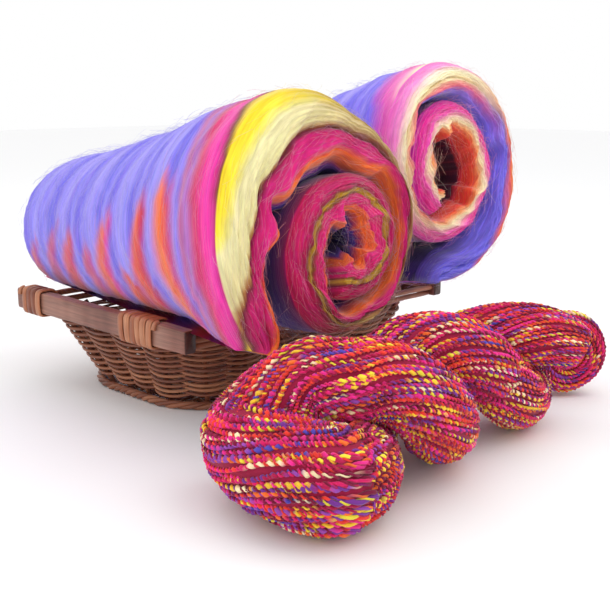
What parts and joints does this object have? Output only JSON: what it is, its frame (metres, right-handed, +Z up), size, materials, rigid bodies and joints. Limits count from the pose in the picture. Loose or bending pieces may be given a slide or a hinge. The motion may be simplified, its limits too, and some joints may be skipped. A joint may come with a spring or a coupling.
{
  "type": "wicker basket with rolled wool batts and a yarn skein",
  "caption": "Shallow flared wicker basket with wooden handle bars, holding rolled carded wool batts that lift out, with a twisted skein of handspun yarn lying in front.",
  "frame": {"origin": "centre of the basket's flat underside", "axes": "+Z up; X along the basket's long side, from one handle bar to the other; Y across it, with the skein on the -Y side"},
  "size_m": [0.4629, 0.4954, 0.2987],
  "materials": {
    "wicker": "satin",
    "bar_wood": "satin",
    "cane": "satin",
    "wool_left": "matte",
    "wool_right": "matte",
    "yarn": "matte"
  },
  "bodies": {
    "basket": {"base_mat": "wicker", "foot_wale": "wicker", "stake_01": "wicker", "stake_02": "wicker", "stake_03": "wicker", "stake_04": "wicker", "stake_05": "wicker", "stake_06": "wicker", "stake_07": "wicker", "stake_08": "wicker", "stake_09": "wicker", "stake_10": "wicker", "stake_11": "wicker", "stake_12": "wicker", "stake_13": "wicker", "stake_14": "wicker", "stake_15": "wicker", "stake_16": "wicker", "stake_17": "wicker", "stake_18": "wicker", "stake_19": "wicker", "stake_20": "wicker", "stake_21": "wicker", "stake_22": "wicker", "stake_23": "wicker", "weaver_01": "wicker", "weaver_02": "wicker", "weaver_03": "wicker", "weaver_04": "wicker", "weaver_05": "wicker", "weaver_06": "wicker", "weaver_07": "wicker", "weaver_08": "wicker", "weaver_09": "wicker", "weaver_10": "wicker", "border_front_lower": "wicker", "border_front_upper": "wicker", "border_back_lower": "wicker", "border_back_upper": "wicker", "border_end_left": "wicker", "border_end_right": "wicker", "handle_bar_left": "bar_wood", "handle_bar_right": "bar_wood", "lashing_left_front": "cane", "lashing_left_back": "cane", "lashing_right_front": "cane", "lashing_right_back": "cane"},
    "left_batt": {"batt_left": "wool_left"},
    "right_batt": {"batt_right": "wool_right"},
    "skein": {"skein_hank": "yarn", "skein_end_loop": "yarn"}
  },
  "joints": [
    {"name": "left_batt_lift", "type": "slide", "parent": "basket", "child": "left_batt", "axis": [0, 0, 1], "range_m": [0, 0.22]},
    {"name": "right_batt_lift", "type": "slide", "parent": "basket", "child": "right_batt", "axis": [0, 0, 1], "range_m": [0, 0.22]},
    {"name": "skein_slide", "type": "slide", "parent": "basket", "child": "skein", "axis": [0, -1, 0], "range_m": [0, 0.15]}
  ]
}
